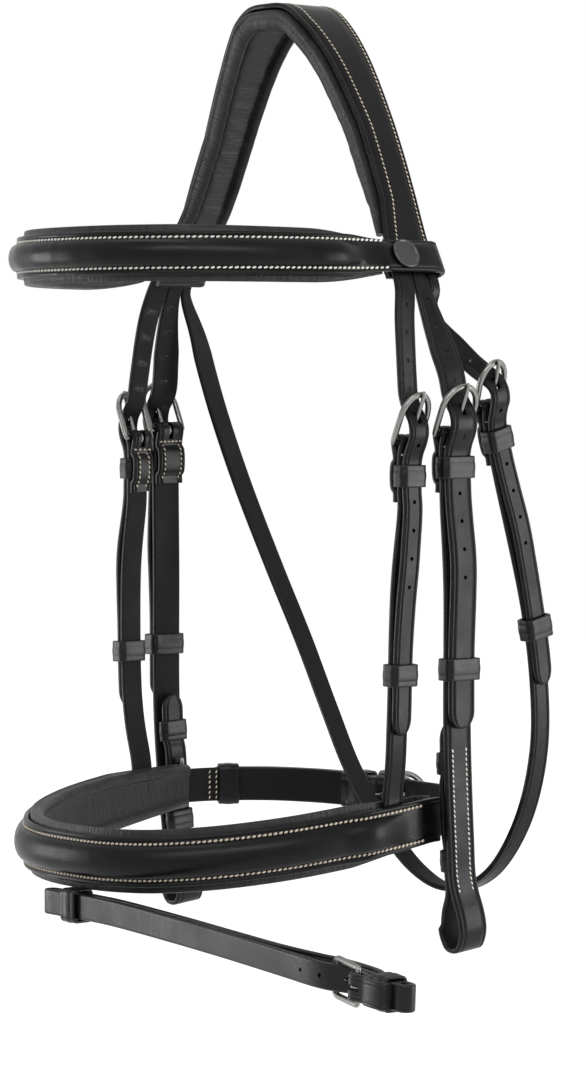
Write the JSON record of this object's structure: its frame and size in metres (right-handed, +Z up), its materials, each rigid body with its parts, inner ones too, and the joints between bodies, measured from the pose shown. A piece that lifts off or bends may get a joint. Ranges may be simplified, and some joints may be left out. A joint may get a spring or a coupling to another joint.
{
  "type": "flash noseband bridle",
  "caption": "Black leather horse bridle with padded headpiece, raised browband and noseband, flash strap, cheekpieces with hook-stud bit loops, and throatlatch.",
  "frame": {"origin": "middle of the padded headpiece's underside, where it rests on the horse's poll", "axes": "+Z up, +X to the horse's near (left) side, -Y towards the horse's nose"},
  "size_m": [0.4153, 0.2602, 0.4985],
  "materials": {
    "leather": "smooth bridle leather, semi-gloss",
    "lining": "soft padded lining leather, matt",
    "steel": "satin stainless steel"
  },
  "bodies": {
    "near_noseband_frame": {"near_noseband_buckle_frame": "steel"},
    "near_noseband_tongue": {"near_noseband_buckle_tongue": "steel"},
    "near_noseband_keeper_body": {"near_noseband_runner": "leather"},
    "near_cheek_frame": {"near_cheek_buckle_frame": "steel"},
    "near_cheek_tongue": {"near_cheek_buckle_tongue": "steel"},
    "near_cheek_keeper_body": {"near_cheek_runner": "leather"},
    "off_noseband_frame": {"off_noseband_buckle_frame": "steel"},
    "off_noseband_tongue": {"off_noseband_buckle_tongue": "steel"},
    "off_noseband_keeper_body": {"off_noseband_runner": "leather"},
    "off_cheek_frame": {"off_cheek_buckle_frame": "steel"},
    "off_cheek_tongue": {"off_cheek_buckle_tongue": "steel"},
    "off_cheek_keeper_body": {"off_cheek_runner": "leather"},
    "throat_frame": {"throat_buckle_frame": "steel"},
    "throat_tongue": {"throat_buckle_tongue": "steel"},
    "throat_keeper_body": {"throat_runner": "leather"},
    "noseband_rear_frame": {"noseband_rear_buckle_frame": "steel"},
    "noseband_rear_tongue": {"noseband_rear_buckle_tongue": "steel"},
    "flash": {"flash_strap": "leather", "flash_fixed_keeper": "leather"},
    "flash_frame": {"flash_buckle_frame": "steel"},
    "flash_tongue": {"flash_buckle_tongue": "steel"},
    "bridle": {"browband_leather": "leather", "browband_lining": "lining", "flash_loop": "leather", "headpiece_leather": "leather", "headpiece_lining": "lining", "near_browband_stud": "steel", "near_cheek_fixed_keeper": "leather", "near_cheekpiece": "leather", "near_hook_lower_keeper": "leather", "near_hook_stud": "steel", "near_hook_upper_keeper": "leather", "near_noseband_fixed_keeper": "leather", "near_noseband_strap": "leather", "noseband_leather": "leather", "noseband_lining": "lining", "noseband_rear_billet": "leather", "noseband_rear_fixed_keeper": "leather", "noseband_rear_lower_keeper": "leather", "noseband_rear_strap": "leather", "off_browband_stud": "steel", "off_cheek_fixed_keeper": "leather", "off_cheekpiece": "leather", "off_hook_lower_keeper": "leather", "off_hook_stud": "steel", "off_hook_upper_keeper": "leather", "off_noseband_fixed_keeper": "leather", "off_noseband_strap": "leather", "throat_fixed_keeper": "leather", "throatlatch": "leather"}
  },
  "joints": [
    {"name": "near_noseband_frame_swing", "type": "hinge", "parent": "bridle", "child": "near_noseband_frame", "pos_m": [0.112, -0.01856, -0.221], "axis": [0, 0.9999, -0.0113], "range_deg": [-2, 3]},
    {"name": "near_noseband_tongue_lift", "type": "hinge", "parent": "near_noseband_frame", "child": "near_noseband_tongue", "pos_m": [0.112, -0.01856, -0.221], "axis": [0, 0.9999, -0.0113], "range_deg": [0, 2.5]},
    {"name": "near_noseband_runner_slide", "type": "slide", "parent": "bridle", "child": "near_noseband_keeper_body", "axis": [-0.0291, -0.0026, -0.9996], "range_m": [-0.004, 0.004]},
    {"name": "near_cheek_frame_swing", "type": "hinge", "parent": "bridle", "child": "near_cheek_frame", "pos_m": [0.11872, 0.00656, -0.21675], "axis": [0, 0.9999, 0.0132], "range_deg": [-2, 3]},
    {"name": "near_cheek_tongue_lift", "type": "hinge", "parent": "near_cheek_frame", "child": "near_cheek_tongue", "pos_m": [0.11872, 0.00656, -0.21675], "axis": [0, 0.9999, 0.0132], "range_deg": [0, 2.5]},
    {"name": "near_cheek_runner_slide", "type": "slide", "parent": "bridle", "child": "near_cheek_keeper_body", "axis": [-0.0019, -0.005, -1], "range_m": [-0.004, 0.004]},
    {"name": "off_noseband_frame_swing", "type": "hinge", "parent": "bridle", "child": "off_noseband_frame", "pos_m": [-0.112, -0.01856, -0.221], "axis": [0, -0.9999, 0.0113], "range_deg": [-2, 3]},
    {"name": "off_noseband_tongue_lift", "type": "hinge", "parent": "off_noseband_frame", "child": "off_noseband_tongue", "pos_m": [-0.112, -0.01856, -0.221], "axis": [0, -0.9999, 0.0113], "range_deg": [0, 2.5]},
    {"name": "off_noseband_runner_slide", "type": "slide", "parent": "bridle", "child": "off_noseband_keeper_body", "axis": [0.0291, -0.0026, -0.9996], "range_m": [-0.004, 0.004]},
    {"name": "off_cheek_frame_swing", "type": "hinge", "parent": "bridle", "child": "off_cheek_frame", "pos_m": [-0.11872, 0.00656, -0.21675], "axis": [0, -0.9999, -0.0132], "range_deg": [-2, 3]},
    {"name": "off_cheek_tongue_lift", "type": "hinge", "parent": "off_cheek_frame", "child": "off_cheek_tongue", "pos_m": [-0.11872, 0.00656, -0.21675], "axis": [0, -0.9999, -0.0132], "range_deg": [0, 2.5]},
    {"name": "off_cheek_runner_slide", "type": "slide", "parent": "bridle", "child": "off_cheek_keeper_body", "axis": [0.0019, -0.005, -1], "range_m": [-0.004, 0.004]},
    {"name": "throat_frame_swing", "type": "hinge", "parent": "bridle", "child": "throat_frame", "pos_m": [0.11312, 0.0376, -0.20315], "axis": [0, 0.965, 0.2624], "range_deg": [-2, 3]},
    {"name": "throat_tongue_lift", "type": "hinge", "parent": "throat_frame", "child": "throat_tongue", "pos_m": [0.11312, 0.0376, -0.20315], "axis": [0, 0.965, 0.2624], "range_deg": [0, 2.5]},
    {"name": "throat_runner_slide", "type": "slide", "parent": "bridle", "child": "throat_keeper_body", "axis": [-0.0159, 0.2113, -0.9773], "range_m": [-0.004, 0.004]},
    {"name": "noseband_rear_frame_swing", "type": "hinge", "parent": "bridle", "child": "noseband_rear_frame", "pos_m": [-0.00318, 0.066, -0.4175], "axis": [0, 0, 1], "range_deg": [-2, 3]},
    {"name": "noseband_rear_tongue_lift", "type": "hinge", "parent": "noseband_rear_frame", "child": "noseband_rear_tongue", "pos_m": [-0.00318, 0.066, -0.4175], "axis": [0, 0, 1], "range_deg": [0, 2.5]},
    {"name": "flash_swing", "type": "hinge", "parent": "bridle", "child": "flash", "pos_m": [0.0056, -0.15296, -0.45904], "axis": [-0.0117, 0.9999, 0], "range_deg": [-4, 3]},
    {"name": "flash_frame_swing", "type": "hinge", "parent": "flash", "child": "flash_frame", "pos_m": [0.24714, -0.16824, -0.46923], "axis": [-0.0535, 0, -0.9986], "range_deg": [0, 3]},
    {"name": "flash_tongue_lift", "type": "hinge", "parent": "flash_frame", "child": "flash_tongue", "pos_m": [0.24714, -0.16824, -0.46923], "axis": [-0.0535, 0, -0.9986], "range_deg": [0, 2.5]}
  ]
}
